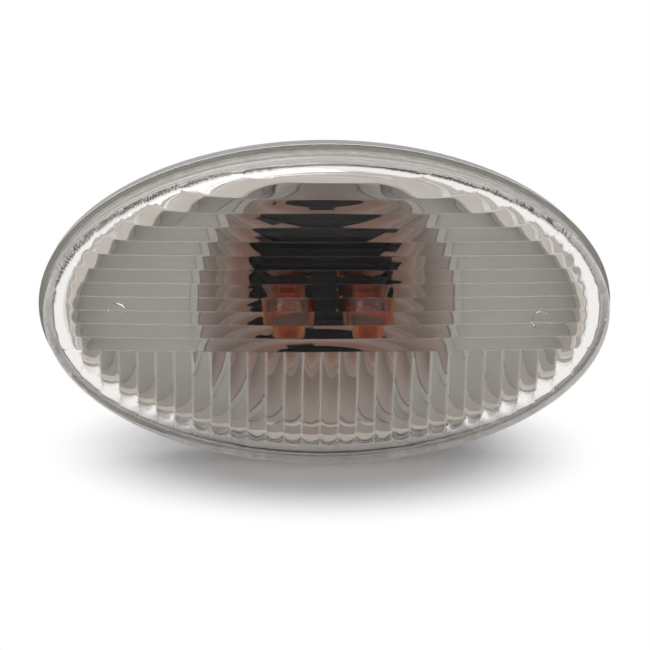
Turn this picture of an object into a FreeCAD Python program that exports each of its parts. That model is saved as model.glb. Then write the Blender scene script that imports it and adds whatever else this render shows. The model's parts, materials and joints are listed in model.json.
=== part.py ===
"""Oval fender lamp: fluted clear lens, grey housing, twin wedge bulbs in a quarter-turn holder.

The lens faces -Y, +X is to the right and +Z is up. The origin lies on the lamp's axis, in the plane
where the foam gasket meets the fender. Units are millimetres.
"""
import FreeCAD, Part
import math
import os
import re
import Sketcher

Vector = FreeCAD.Vector
doc = FreeCAD.newDocument("FenderLamp")
sheet = doc.addObject("Spreadsheet::Sheet", "Sizes")

SIZES = {
    # oval outline and the levels along the axis
    "lens_width": 108.0,
    "lens_height": 61.3,
    "lens_depth": 15.0,
    "gasket_thickness": 2.5,
    "flange_thickness": 4.0,
    # how far a cutting form runs past a face, and a joined form into its neighbour
    "cut_overrun": 1.0,
    "root_overlap": 0.5,
    # lens
    "lip_width": 1.6,
    "lip_thickness": 1.8,
    "skirt_wall": 2.6,
    "shoulder_width": 5.0,
    "shoulder_bands": 6,
    "crown_slope": 6.0,
    "crown_bands": 4,
    "barrel_radius": 160.0,
    "lens_web": 3.1,
    "band_ends": 2.6,
    "band_sides": 1.6,
    "band_step": 0.9,
    "level_pitch": 2.53,
    "level_rise": 0.2,
    "upright_pitch": 3.35,
    "upright_rise": 0.4,
    "field_split": 5.6,
    "pad_radius": 1.5,
    "pad_offset": 38.6,
    "pad_height": 0.4,
    "pad_proud": 0.5,
    "tongue_depth": 0.8,
    "groove_clearance": 0.25,
    "sealant_thickness": 0.6,
    # housing
    "floor_plate": 1.8,
    "upstand_wall": 1.4,
    "upstand_rise": 4.0,
    "upstand_clearance": 0.4,
    "bowl_margin": 0.2,
    "bowl_taper": 3.2,
    "bowl_reach": 16.5,
    "bowl_wall": 2.2,
    "bowl_rim_width": 1.4,
    "bowl_rim_rise": 0.8,
    "bowl_bevel": 1.6,
    "rear_wall": 2.4,
    "claw_gap": 1.5,
    "claw_thickness": 1.8,
    "claw_width": 10.0,
    "claw_catch": 2.0,
    "claw_nose": 6.0,
    "claw_slope": 1.0,
    "hook_thickness": 3.0,
    "hook_catch": 2.6,
    "hook_nose": 3.6,
    "panel_thickness": 1.0,
    "gasket_band_ends": 8.0,
    "gasket_clearance": 0.5,
    "gasket_inset": 1.8,
    # bulb holder
    "plug_radius": 14.2,
    "plug_clearance": 0.3,
    "plug_bevel": 0.6,
    "plug_proud": 2.0,
    "lug_count": 3,
    "lug_rise": 1.6,
    "lug_width": 5.0,
    "lug_thickness": 1.5,
    "notch_clearance": 0.6,
    "lock_turn": 45.0,
    "tower_length": 11.0,
    "tower_radius": 4.9,
    "tower_wall": 1.6,
    "seal_thickness": 2.0,
    "seal_width": 4.0,
    "holder_flange_radius": 19.0,
    "holder_flange_thickness": 3.0,
    "knob_radius": 13.0,
    "knob_length": 5.0,
    "grip_count": 8,
    "grip_width": 2.4,
    "grip_rise": 1.6,
    "shroud_width": 10.4,
    "shroud_height": 12.6,
    "shroud_wall": 1.4,
    "shroud_length": 15.0,
    "shroud_key_width": 3.0,
    "shroud_key_rise": 1.2,
    "shroud_key_setback": 3.0,
    # bulbs
    "bulb_pitch": 14.8,
    "bulb_radius": 5.0,
    "bulb_length": 19.0,
    "bulb_wall": 0.6,
    "bulb_neck": 3.0,
    "bulb_neck_radius": 3.6,
    "bulb_floor": 1.2,
    "pinch_width": 9.2,
    "pinch_thickness": 2.2,
    "pinch_length": 7.6,
    "seat_gap": 0.2,
    "slot_clearance": 0.3,
    "filament_height": 10.0,
    "filament_radius": 0.35,
    "filament_overhang": 0.4,
    "lead_radius": 0.2,
    "lead_spread": 2.0,
    "lead_return": 5.0,
    "bead_height": 5.0,
    "bead_radius": 0.9,
    "bead_overhang": 0.8,
    # brass terminals
    "strip_thickness": 0.6,
    "strip_width": 2.8,
    "strip_reach": 3.0,
    "strip_start": 2.8,
    "tab_width": 2.8,
    "tab_length": 8.0,
}

for row, (alias, value) in enumerate(SIZES.items(), 1):
    sheet.set("A%d" % row, alias)
    sheet.set("B%d" % row, str(value))
    sheet.setAlias("B%d" % row, alias)
doc.recompute()

# levels and fits that follow from the driving sizes
DERIVED = {
    "rim_level": "-(gasket_thickness + flange_thickness)",
    "crown_level": "rim_level - lens_depth",
    "barrel_level": "crown_level + barrel_radius",
    "lip_a": "lens_width / 2",
    "lip_b": "lens_height / 2",
    "skirt_a": "lip_a - lip_width",
    "skirt_b": "lip_b - lip_width",
    "shoulder_radius": "shoulder_width / (1 - sin(crown_slope))",
    "crown_sag": "tan(crown_slope) * (skirt_a + skirt_b - 2 * shoulder_width) / 4",
    "crown_edge": "crown_level + crown_sag * (1 - crown_bands ^ -2)",
    "bore_a": "skirt_a - skirt_wall",
    "bore_b": "skirt_b - skirt_wall",
    "tongue_level": "rim_level + tongue_depth",
    "groove_level": "tongue_level + sealant_thickness",
    "floor_level": "-(gasket_thickness + floor_plate)",
    "upstand_level": "rim_level - upstand_rise",
    "field_a": "bore_a - band_ends",
    "field_b": "bore_b - band_sides",
    "field_rear": "tongue_level + cut_overrun",
    "level_radius": "(level_pitch ^ 2 / 4 + level_rise ^ 2) / (2 * level_rise)",
    "upright_radius": "(upright_pitch ^ 2 / 4 + upright_rise ^ 2) / (2 * upright_rise)",
    "upright_tilt": "asin((field_split + field_b) / 2 / (barrel_radius - lens_web))",
    "upstand_a": "bore_a - upstand_clearance",
    "upstand_b": "bore_b - upstand_clearance",
    "bowl_front_radius": "upstand_b - upstand_wall - bowl_margin",
    "bowl_back_radius": "bowl_front_radius - bowl_taper",
    "claw_offset": "bowl_front_radius + bowl_wall + claw_gap",
    "rear_level": "bowl_reach + rear_wall",
    "opening_radius": "plug_radius + plug_clearance",
    "plug_level": "bowl_reach - plug_proud",
    "tower_level": "plug_level - tower_length",
    "tower_half": "bulb_pitch / 2 + pinch_width / 2 + tower_wall",
    "holder_flange_level": "rear_level + seal_thickness",
    "knob_level": "holder_flange_level + holder_flange_thickness",
    "shroud_level": "knob_level + knob_length",
    "shroud_end": "shroud_level + shroud_length",
    "seat_level": "tower_level - seat_gap",
    "pocket_depth": "pinch_length + 2 * lead_radius + slot_clearance",
    "strip_inner": "pinch_thickness / 2 + 2 * lead_radius",
    "strip_half": "bulb_pitch / 2 + lead_spread + strip_width / 2",
    "pocket_half": "strip_inner + strip_thickness + slot_clearance",
}
WORD = re.compile(r"[a-z]+(?:_[a-z]+)+")


def formula(text):
    """The expression over the sheet's cells that a text of named sizes stands for."""
    text = str(text)

    def cell(found):
        name = found.group(0)
        if name in DERIVED:
            return "(" + formula(DERIVED[name]) + ")"
        return "Sizes." + name

    return WORD.sub(cell, text)


def size(text):
    return float(sheet.evalExpression(formula(text)))


def bind(item, **texts):
    for name, text in texts.items():
        item.setExpression(name.replace("__", "."), formula(text))
    return item


def place(item, x="0", y="0", z="0", axis=None, turn=0.0):
    """Turns an item about an axis, then puts its origin at three bound coordinates."""
    if axis:
        item.Placement = FreeCAD.Placement(Vector(), FreeCAD.Rotation(Vector(*axis), turn))
    return bind(item, Placement__Base__x=x, Placement__Base__y=y, Placement__Base__z=z)


def block(name, across, along, upright):
    """A box between two bound coordinates on each axis."""
    item = doc.addObject("Part::Box", name)
    spans = ["(%s) - (%s)" % (far, near) for near, far in (across, along, upright)]
    bind(item, Length=spans[0], Width=spans[1], Height=spans[2])
    return place(item, across[0], along[0], upright[0])


def rod(name, radius, near, far, x="0", z="0"):
    """A cylinder along +Y between two bound levels."""
    item = doc.addObject("Part::Cylinder", name)
    bind(item, Radius=radius, Height="(%s) - (%s)" % (far, near))
    return place(item, x, near, z, (1, 0, 0), -90)


def cross_rod(name, radius, half, x, y, z="0"):
    """A cylinder along X, centred on x."""
    item = doc.addObject("Part::Cylinder", name)
    bind(item, Radius=radius, Height="2 * (%s)" % half)
    return place(item, "(%s) - (%s)" % (x, half), y, z, (0, 1, 0), 90)


def oval(name, wide, tall, level):
    item = doc.addObject("Part::Ellipse", name)
    bind(item, MajorRadius=wide, MinorRadius=tall)
    return place(item, "0", level, "0", (1, 0, 0), 90)


def oval_slab(name, wide, tall, near, far):
    """An elliptic slab along +Y between two bound levels."""
    item = doc.addObject("Part::Extrusion", name)
    item.Base = oval(name + "Outline", wide, tall, near)
    item.DirMode = "Custom"
    item.Dir = Vector(0, 1, 0)
    item.Solid = True
    return bind(item, LengthFwd="(%s) - (%s)" % (far, near))


def fuse(name, *items):
    item = doc.addObject("Part::MultiFuse", name)
    item.Shapes = list(items)
    item.Refine = True
    return item


def cut(name, base, tool):
    item = doc.addObject("Part::Cut", name)
    item.Base = base
    item.Tool = tool
    return item


def common(name, *items):
    item = doc.addObject("Part::MultiCommon", name)
    item.Shapes = list(items)
    return item


def plane_of(body, role):
    return next(item for item in body.Origin.OriginFeatures if item.Role == role)


def outline(body, name, role, points):
    """A bound, closed sketch: a point is (u, v), or (u, v, radius, side) where an arc leads to the next.

    Side is 1 where the arc's centre lies to the left of the way to the next point, and -1 to the right.
    """
    sketch = body.newObject("Sketcher::SketchObject", name)
    sketch.AttachmentSupport = [(plane_of(body, role), "")]
    sketch.MapMode = "FlatFace"
    spots = [(size(point[0]), size(point[1])) for point in points]
    count = len(points)
    starts = []
    ends = []
    for index in range(count):
        near = Vector(*spots[index], 0)
        far = Vector(*spots[(index + 1) % count], 0)
        if len(points[index]) == 2:
            sketch.addGeometry(Part.LineSegment(near, far), False)
            starts.append(1)
            ends.append(2)
            continue
        radius = size(points[index][2])
        side = points[index][3]
        way = far - near
        lift = math.sqrt(max(radius * radius - way.Length * way.Length / 4, 0.0))
        centre = (near + far) * 0.5 + Vector(-way.y, way.x, 0).normalize() * (lift * side)
        first, last = (near, far) if side > 0 else (far, near)
        angles = [math.atan2(p.y - centre.y, p.x - centre.x) for p in (first, last)]
        circle = Part.Circle(centre, Vector(0, 0, 1), radius)
        sketch.addGeometry(Part.ArcOfCircle(circle, angles[0], angles[1]), False)
        starts.append(1 if side > 0 else 2)
        ends.append(2 if side > 0 else 1)
    for index in range(count):
        after = (index + 1) % count
        sketch.addConstraint(Sketcher.Constraint("Coincident", index, ends[index], after, starts[after]))
    for index in range(count):
        for axis in (0, 1):
            kind = ("DistanceX", "DistanceY")[axis]
            rule = Sketcher.Constraint(kind, index, starts[index], spots[index][axis])
            number = sketch.addConstraint(rule)
            sketch.setExpression("Constraints[%d]" % number, formula(points[index][axis]))
        if len(points[index]) == 4:
            number = sketch.addConstraint(Sketcher.Constraint("Radius", index, size(points[index][2])))
            sketch.setExpression("Constraints[%d]" % number, formula(points[index][2]))
    return sketch


def body_of(name):
    return doc.addObject("PartDesign::Body", name)


def turned(body, name, points):
    """A turned feature about the body's Y axis from an outline of radius and level."""
    feature = body.newObject("PartDesign::Revolution", name)
    feature.Profile = outline(body, name + "Profile", "XY_Plane", points)
    feature.ReferenceAxis = (feature.Profile[0], ["V_Axis"])
    feature.Angle = 360.0
    body.Tip = feature
    return feature


def padded(body, name, role, points, length):
    """A feature padded by half its length to each side of one of the body's planes."""
    feature = body.newObject("PartDesign::Pad", name)
    feature.Profile = outline(body, name + "Profile", role, points)
    feature.SideType = "Symmetric"
    bind(feature, Length=length)
    body.Tip = feature
    return feature


# lens: the outer form, a straight oval skirt, a rounded shoulder and a low crown in narrow ruled bands
rings = [oval("SkirtFoot", "skirt_a", "skirt_b", "tongue_level")]
shoulder_bands = int(size("shoulder_bands"))
for number in range(shoulder_bands + 1):
    turn = "(90 - (90 - crown_slope) * %d / shoulder_bands)" % number
    inset = "(shoulder_width - shoulder_radius * (sin(%s) - sin(crown_slope)))" % turn
    level = "crown_edge + shoulder_radius * (cos(crown_slope) - cos(%s))" % turn
    rings.append(oval("ShoulderRing%d" % number, "skirt_a - " + inset, "skirt_b - " + inset, level))
crown_bands = int(size("crown_bands"))
for number in range(1, crown_bands):
    inset = "(shoulder_width + (skirt_b - shoulder_width) * %d / crown_bands)" % number
    level = "crown_level + crown_sag * ((1 - %d / crown_bands) ^ 2 - crown_bands ^ -2)" % number
    rings.append(oval("CrownRing%d" % number, "skirt_a - " + inset, "skirt_b - " + inset, level))
crowned = doc.addObject("Part::Loft", "LensCrowned")
crowned.Sections = rings
crowned.Solid = True
crowned.Ruled = True
lip = oval_slab("LensLip", "lip_a", "lip_b", "rim_level - lip_thickness", "rim_level")
lens_outer = fuse("LensOuter", crowned, lip)

# lens: level flutes above the split, their valleys on a barrel behind the crown
level_count = math.ceil(size("field_b + field_split") / size("level_pitch"))
level_heights = ["level_pitch * %d - field_split" % number for number in range(level_count + 1)]
level_valleys = [
    ("barrel_level - sqrt((barrel_radius - lens_web) ^ 2 - (%s) ^ 2)" % height, height)
    for height in level_heights
]
level_flutes = body_of("LevelFlutes")
padded(level_flutes, "LevelFlutesPad", "YZ_Plane",
       [valley + ("level_radius", 1) for valley in level_valleys[:-1]]
       + [level_valleys[-1], ("field_rear", level_heights[-1]), ("field_rear", level_heights[0])],
       "2 * lens_width")

# lens: upright flutes below the split, straight, on the plane that touches the barrel half-way down
upright_half = math.ceil(size("field_a") / size("upright_pitch") - 0.5) + 0.5
upright_places = [
    "upright_pitch * %.1f" % (number - upright_half) for number in range(int(2 * upright_half) + 1)
]
upright_valleys = [(across, "crown_level + lens_web") for across in upright_places]
upright_flutes = body_of("UprightFlutes")
padded(upright_flutes, "UprightFlutesPad", "XY_Plane",
       [valley + ("upright_radius", -1) for valley in upright_valleys[:-1]]
       + [upright_valleys[-1], (upright_places[-1], "field_rear"), (upright_places[0], "field_rear")],
       "2 * lens_height")
place(upright_flutes, "0", "barrel_level * (1 - cos(upright_tilt))", "-barrel_level * sin(upright_tilt)",
      (1, 0, 0), 1.0)
bind(upright_flutes, Placement__Rotation__Angle="upright_tilt")
upright_zone = block("UprightZone", ("-lens_width", "lens_width"),
                     ("crown_level - cut_overrun", "field_rear"), ("-lens_height", "-field_split"))
upright_field = common("UprightField", upright_flutes, upright_zone)

# lens: the fluted field lies inside a smooth band, with a round pad near each end
field = oval_slab("LensField", "field_a", "field_b", "crown_level", "field_rear")
fluted = common("LensFluted", field, fuse("LensFlutes", level_flutes, upright_field))
bore = oval_slab("LensBore", "bore_a", "bore_b", "crown_level", "field_rear")
inside = cross_rod("LensInside", "barrel_radius - lens_web - band_step", "lens_width", "0", "barrel_level")
band = common("LensBand", bore, inside)
lens_shell = cut("LensShell", lens_outer, fuse("LensCavity", band, fluted))
pads = [
    rod("LensPad" + side, "pad_radius", "crown_level + lens_web / 2",
        "crown_level + lens_web + level_rise + pad_proud", sign + "pad_offset", "pad_height")
    for side, sign in (("Left", "-"), ("Right", ""))
]
lens = fuse("Lens", lens_shell, *pads)

# housing: oval flange with the lens's groove, floor and upstand
flange = oval_slab("Flange", "lip_a", "lip_b", "rim_level", "-gasket_thickness")
groove = cut(
    "Groove",
    oval_slab("GrooveOuter", "skirt_a + groove_clearance", "skirt_b + groove_clearance",
              "rim_level - cut_overrun", "groove_level"),
    oval_slab("GrooveInner", "bore_a - groove_clearance", "bore_b - groove_clearance",
              "rim_level - 2 * cut_overrun", "groove_level + cut_overrun"),
)
upstand = oval_slab("Upstand", "upstand_a", "upstand_b", "upstand_level", "floor_level")
tray = oval_slab("Tray", "upstand_a - upstand_wall", "upstand_b - upstand_wall",
                 "upstand_level - cut_overrun", "floor_level")
bowl_hole = rod("BowlHole", "bowl_front_radius + bowl_rim_width / 2",
                "floor_level - cut_overrun", "cut_overrun")
flange_raised = fuse("FlangeRaised", cut("FlangeGrooved", flange, groove), upstand)
flange_tray = cut("FlangeTray", flange_raised, fuse("TrayTools", tray, bowl_hole))

# housing: bowl with its raised rim and the rear wall
bowl = body_of("Bowl")
turned(bowl, "BowlTurn", [
    ("bowl_front_radius", "floor_level - bowl_rim_rise"),
    ("bowl_back_radius", "bowl_reach - bowl_bevel"),
    ("bowl_back_radius - bowl_bevel", "bowl_reach"),
    ("opening_radius", "bowl_reach"),
    ("opening_radius", "rear_level"),
    ("bowl_back_radius + bowl_wall - bowl_bevel", "rear_level"),
    ("bowl_back_radius + bowl_wall", "rear_level - bowl_bevel"),
    ("bowl_front_radius + bowl_wall", "-gasket_thickness"),
    ("bowl_front_radius + bowl_wall", "floor_level"),
    ("bowl_front_radius + bowl_rim_width", "floor_level"),
    ("bowl_front_radius + bowl_rim_width", "floor_level - bowl_rim_rise"),
])

# housing: sprung claw on the right, fixed hook on the left, both gripping the fender's edge
claw = body_of("Claw")
padded(claw, "ClawPad", "XY_Plane", [
    ("claw_offset", "-gasket_thickness - root_overlap"),
    ("claw_offset + claw_thickness", "-gasket_thickness - root_overlap"),
    ("claw_offset + claw_thickness", "panel_thickness"),
    ("claw_offset + claw_thickness + claw_catch", "panel_thickness"),
    ("claw_offset + claw_thickness + claw_catch", "panel_thickness + claw_slope"),
    ("claw_offset + claw_thickness", "panel_thickness + claw_nose"),
    ("claw_offset", "panel_thickness + claw_nose"),
], "claw_width")
hook = body_of("Hook")
padded(hook, "HookPad", "XY_Plane", [
    ("-claw_offset", "-gasket_thickness - root_overlap"),
    ("-claw_offset", "panel_thickness + hook_nose"),
    ("-(claw_offset + hook_thickness + hook_catch) + claw_slope", "panel_thickness + hook_nose"),
    ("-(claw_offset + hook_thickness + hook_catch)", "panel_thickness + hook_nose - claw_slope"),
    ("-(claw_offset + hook_thickness + hook_catch)", "panel_thickness"),
    ("-(claw_offset + hook_thickness)", "panel_thickness"),
    ("-(claw_offset + hook_thickness)", "-gasket_thickness - root_overlap"),
], "claw_width")

# housing: three notches that let the holder's lugs in
lug_half = "(lug_width + notch_clearance) / 2"
notches = []
for number in range(int(size("lug_count"))):
    notch = block(
        "Notch%d" % number,
        ("0", "plug_radius + lug_rise + notch_clearance"),
        ("bowl_reach - cut_overrun", "rear_level + cut_overrun"),
        ("0", "lug_width + notch_clearance"),
    )
    angle = "90 + lock_turn + %d * 360 / lug_count" % number
    notch.Placement = FreeCAD.Placement(Vector(), FreeCAD.Rotation(Vector(0, 1, 0), 0))
    bind(notch, Placement__Rotation__Angle="-(%s)" % angle)
    place(notch, "(%s) * sin(%s)" % (lug_half, angle), "bowl_reach - cut_overrun",
          "-(%s) * cos(%s)" % (lug_half, angle))
    notches.append(notch)
housing_solid = fuse("HousingSolid", flange_tray, bowl, claw, hook)
housing = cut("Housing", housing_solid, fuse("NotchTools", *notches))

# seals
sealant = cut(
    "LensSealant",
    oval_slab("SealantOuter", "skirt_a + groove_clearance", "skirt_b + groove_clearance",
              "tongue_level", "groove_level"),
    oval_slab("SealantInner", "bore_a - groove_clearance", "bore_b - groove_clearance",
              "tongue_level - cut_overrun", "groove_level + cut_overrun"),
)
gasket = cut(
    "FenderGasket",
    oval_slab("GasketOuter", "lip_a - gasket_inset", "lip_b - gasket_inset", "-gasket_thickness", "0"),
    oval_slab("GasketInner", "lip_a - gasket_inset - gasket_band_ends",
              "bowl_front_radius + bowl_wall + gasket_clearance",
              "-gasket_thickness - cut_overrun", "cut_overrun"),
)
holder_seal = cut(
    "HolderSeal",
    rod("HolderSealOuter", "plug_radius + plug_clearance + seal_width", "rear_level", "holder_flange_level"),
    rod("HolderSealInner", "plug_radius + plug_clearance", "rear_level - cut_overrun",
        "holder_flange_level + cut_overrun"),
)

# bulb holder: turned plug, flange and knob
plug = body_of("Plug")
turned(plug, "PlugTurn", [
    ("0", "plug_level"),
    ("plug_radius - plug_bevel", "plug_level"),
    ("plug_radius", "plug_level + plug_bevel"),
    ("plug_radius", "holder_flange_level"),
    ("holder_flange_radius", "holder_flange_level"),
    ("holder_flange_radius", "knob_level - plug_bevel"),
    ("holder_flange_radius - plug_bevel", "knob_level"),
    ("knob_radius", "knob_level"),
    ("knob_radius", "shroud_level - plug_bevel"),
    ("knob_radius - plug_bevel", "shroud_level"),
    ("0", "shroud_level"),
])


def spoke(name, count, number, inner, outer, near, far, width, start):
    """A radial block about the lamp's axis."""
    item = block(name, (inner, outer), (near, far), ("0", width))
    angle = "%s + %d * 360 / %s" % (start, number, count)
    item.Placement = FreeCAD.Placement(Vector(), FreeCAD.Rotation(Vector(0, 1, 0), 0))
    bind(item, Placement__Rotation__Angle="-(%s)" % angle)
    place(item, "(%s) * cos(%s) + (%s) / 2 * sin(%s)" % (inner, angle, width, angle), near,
          "(%s) * sin(%s) - (%s) / 2 * cos(%s)" % (inner, angle, width, angle))
    return item


lugs = [
    spoke("Lug%d" % number, "lug_count", number, "plug_radius - lug_rise", "plug_radius + lug_rise",
          "bowl_reach - lug_thickness", "bowl_reach", "lug_width", "90")
    for number in range(int(size("lug_count")))
]
grips = [
    spoke("Grip%d" % number, "grip_count", number, "knob_radius - grip_rise", "knob_radius + grip_rise",
          "knob_level - root_overlap", "shroud_level - plug_bevel", "grip_width", "22.5")
    for number in range(int(size("grip_count")))
]

# bulb holder: tower with a pocket for each bulb, connector shroud behind
tower_bar = block("TowerBar", ("-(tower_half - tower_radius)", "tower_half - tower_radius"),
                  ("tower_level", "plug_level + root_overlap"), ("-tower_radius", "tower_radius"))
tower_ends = [
    rod("TowerEnd" + side, "tower_radius", "tower_level", "plug_level + root_overlap",
        sign + "(tower_half - tower_radius)")
    for side, sign in (("Left", "-"), ("Right", ""))
]
shroud = block("Shroud", ("-shroud_width / 2", "shroud_width / 2"),
               ("shroud_level - root_overlap", "shroud_end"), ("-shroud_height / 2", "shroud_height / 2"))
shroud_key = block("ShroudKey", ("-shroud_key_width / 2", "shroud_key_width / 2"),
                   ("shroud_level - root_overlap", "shroud_end - shroud_key_setback"),
                   ("shroud_height / 2 - root_overlap", "shroud_height / 2 + shroud_key_rise"))
holder_solid = fuse("HolderSolid", plug, tower_bar, *tower_ends, *lugs, *grips, shroud, shroud_key)
pockets = [
    block("Pocket" + side,
          (sign + "bulb_pitch / 2 - pinch_width / 2 - slot_clearance",
           sign + "bulb_pitch / 2 + pinch_width / 2 + slot_clearance"),
          ("tower_level - cut_overrun", "tower_level + pocket_depth"),
          ("-pocket_half", "pocket_half"))
    for side, sign in (("Left", "-"), ("Right", ""))
]
shroud_mouth = block("ShroudMouth", ("-shroud_width / 2 + shroud_wall", "shroud_width / 2 - shroud_wall"),
                     ("shroud_level", "shroud_end + cut_overrun"),
                     ("-shroud_height / 2 + shroud_wall", "shroud_height / 2 - shroud_wall"))


def terminal(name, sign):
    """A brass strip across both bulbs with a tail that ends as a connector tab."""
    near, far = "strip_inner", "strip_inner + strip_thickness"
    side = (near, far) if sign > 0 else ("-(%s)" % far, "-" + near)
    strip = block(name + "Strip", ("-strip_half", "strip_half"),
                  ("tower_level + strip_start", "tower_level + strip_start + strip_reach"), side)
    tail = block(name + "Tail", ("-tab_width / 2", "tab_width / 2"),
                 ("tower_level + strip_start + strip_reach - root_overlap", "shroud_level + tab_length"),
                 side)
    return fuse(name, strip, tail)


feed_terminal = terminal("FeedTerminal", 1)
earth_terminal = terminal("EarthTerminal", -1)
holder_tools = fuse("HolderTools", *pockets, shroud_mouth, feed_terminal, earth_terminal)
holder = cut("BulbHolder", holder_solid, holder_tools)


# bulbs
def lead(name, x, fold):
    """A wire from the coil through the flat base, round its end and back along one of its faces."""
    end = "seat_level + pinch_length"
    across = ("%s - lead_radius" % x, "%s + lead_radius" % x)
    if fold > 0:
        round_end = ("-lead_radius", "strip_inner")
        along_face = ("pinch_thickness / 2", "strip_inner")
    else:
        round_end = ("-strip_inner", "lead_radius")
        along_face = ("-strip_inner", "-pinch_thickness / 2")
    return fuse(
        name,
        rod(name + "Wire", "lead_radius", "seat_level - filament_height", end, x),
        block(name + "Fold", across, (end, end + " + 2 * lead_radius"), round_end),
        block(name + "Return", across, (end + " - lead_return", end + " + 2 * lead_radius"), along_face),
    )


def bulb(side, sign):
    """One wedge bulb: glass, coil, two leads and the bead that ties them."""
    centre = sign + "bulb_pitch / 2"
    envelope = body_of("Envelope" + side)
    turned(envelope, "EnvelopeTurn" + side, [
        ("0", "seat_level - bulb_length", "bulb_radius", 1),
        ("bulb_radius", "seat_level - bulb_length + bulb_radius"),
        ("bulb_radius", "seat_level - bulb_neck"),
        ("bulb_neck_radius", "seat_level"),
        ("0", "seat_level"),
        ("0", "seat_level - bulb_floor"),
        ("bulb_neck_radius - bulb_wall", "seat_level - bulb_floor"),
        ("bulb_neck_radius - bulb_wall", "seat_level - bulb_neck - bulb_wall"),
        ("bulb_radius - bulb_wall", "seat_level - bulb_neck - bulb_wall"),
        ("bulb_radius - bulb_wall", "seat_level - bulb_length + bulb_radius"),
        ("0", "seat_level - bulb_length + 2 * bulb_wall"),
    ])
    bind(envelope, Placement__Base__x=centre)
    pinch = block("Pinch" + side, (centre + " - pinch_width / 2", centre + " + pinch_width / 2"),
                  ("seat_level - bulb_floor / 2", "seat_level + pinch_length"),
                  ("-pinch_thickness / 2", "pinch_thickness / 2"))
    glass_solid = fuse("GlassSolid" + side, envelope, pinch)
    feed_x = centre + " - lead_spread"
    earth_x = centre + " + lead_spread"
    glass_holes = [
        rod("GlassHole" + side + str(number), "lead_radius", "seat_level - bulb_floor - cut_overrun",
            "seat_level + pinch_length + cut_overrun", x)
        for number, x in enumerate((feed_x, earth_x))
    ]
    glass = cut("BulbGlass" + side, glass_solid, fuse("GlassHoles" + side, *glass_holes))
    feed = lead("LeadFeed" + side, feed_x, 1)
    earth = lead("LeadEarth" + side, earth_x, -1)
    coil = cross_rod("Filament" + side, "filament_radius", "lead_spread + filament_overhang", centre,
                     "seat_level - filament_height - filament_radius")
    bead_bar = cross_rod("BeadBar" + side, "bead_radius", "lead_spread + bead_overhang", centre,
                         "seat_level - bead_height")
    bead_holes = [
        rod("BeadHole" + side + str(number), "lead_radius",
            "seat_level - bead_height - bead_radius - cut_overrun",
            "seat_level - bead_height + bead_radius + cut_overrun", x)
        for number, x in enumerate((feed_x, earth_x))
    ]
    bead = cut("Bead" + side, bead_bar, fuse("BeadHoles" + side, *bead_holes))
    tail = side.lower()
    return {
        "bulb_glass_" + tail: glass,
        "filament_" + tail: coil,
        "lead_feed_" + tail: feed,
        "lead_earth_" + tail: earth,
        "bead_" + tail: bead,
    }


pieces = {
    "lens": lens,
    "housing": housing,
    "lens_sealant": sealant,
    "fender_gasket": gasket,
    "bulb_holder": holder,
    "holder_seal": holder_seal,
    "feed_terminal": feed_terminal,
    "earth_terminal": earth_terminal,
}
pieces.update(bulb("Left", "-"))
pieces.update(bulb("Right", ""))
doc.recompute()

for item in doc.Objects:
    if "Invalid" in item.State or "Error" in item.State:
        raise RuntimeError("%s: %s" % (item.Name, item.State))
os.makedirs("parts", exist_ok=True)
for label, item in pieces.items():
    item.Label = label
    shape = item.Shape
    if shape.isNull() or not shape.isValid() or len(shape.Solids) != 1:
        raise RuntimeError("%s: %d solids, valid %s" % (label, len(shape.Solids), shape.isValid()))
    shape.exportStep("parts/%s.step" % label)
    print("%-18s %9.1f mm3" % (label, shape.Volume))
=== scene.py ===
import json
import math

import bmesh
import bpy
from mathutils import Matrix, Vector


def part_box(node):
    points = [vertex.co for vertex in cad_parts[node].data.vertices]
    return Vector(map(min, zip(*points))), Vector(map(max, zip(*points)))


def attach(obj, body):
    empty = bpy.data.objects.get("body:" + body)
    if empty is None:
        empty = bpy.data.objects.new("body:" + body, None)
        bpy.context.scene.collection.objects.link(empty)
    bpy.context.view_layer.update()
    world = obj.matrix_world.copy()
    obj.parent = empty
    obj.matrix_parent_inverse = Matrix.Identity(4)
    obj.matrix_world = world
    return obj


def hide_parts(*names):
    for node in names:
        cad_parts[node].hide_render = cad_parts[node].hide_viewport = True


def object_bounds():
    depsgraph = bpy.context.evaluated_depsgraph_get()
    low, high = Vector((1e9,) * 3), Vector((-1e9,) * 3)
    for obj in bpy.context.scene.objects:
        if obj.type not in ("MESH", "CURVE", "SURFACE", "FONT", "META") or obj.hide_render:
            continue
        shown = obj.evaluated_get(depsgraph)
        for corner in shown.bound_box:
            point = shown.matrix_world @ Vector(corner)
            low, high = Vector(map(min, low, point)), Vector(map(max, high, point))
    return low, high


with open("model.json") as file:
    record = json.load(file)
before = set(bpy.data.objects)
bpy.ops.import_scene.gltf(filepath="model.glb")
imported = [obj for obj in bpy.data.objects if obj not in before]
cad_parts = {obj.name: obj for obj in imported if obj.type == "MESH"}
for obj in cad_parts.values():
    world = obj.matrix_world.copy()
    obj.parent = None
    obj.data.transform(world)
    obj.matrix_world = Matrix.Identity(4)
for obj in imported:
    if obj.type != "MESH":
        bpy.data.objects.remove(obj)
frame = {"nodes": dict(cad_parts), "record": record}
cadLow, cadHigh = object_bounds()
mm = 0.001
print("frame loaded")


# colours are written as sRGB hex and turned to linear here
def hexColour(text):
    channels = [int(text[place:place + 2], 16) / 255 for place in (1, 3, 5)]
    linear = [c / 12.92 if c <= 0.04045 else ((c + 0.055) / 1.055) ** 2.4 for c in channels]
    return linear + [1.0]


# one node, its settings (sockets by name or number, or node properties) and its incoming links
def addNode(tree, kind, settings=None, links=None):
    node = tree.nodes.new(kind)
    for name, value in (settings or {}).items():
        if isinstance(name, int) or name in node.inputs:
            node.inputs[name].default_value = value
        else:
            setattr(node, name, value)
    for name, source in (links or {}).items():
        tree.links.new(source, node.inputs[name])
    return node


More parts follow.
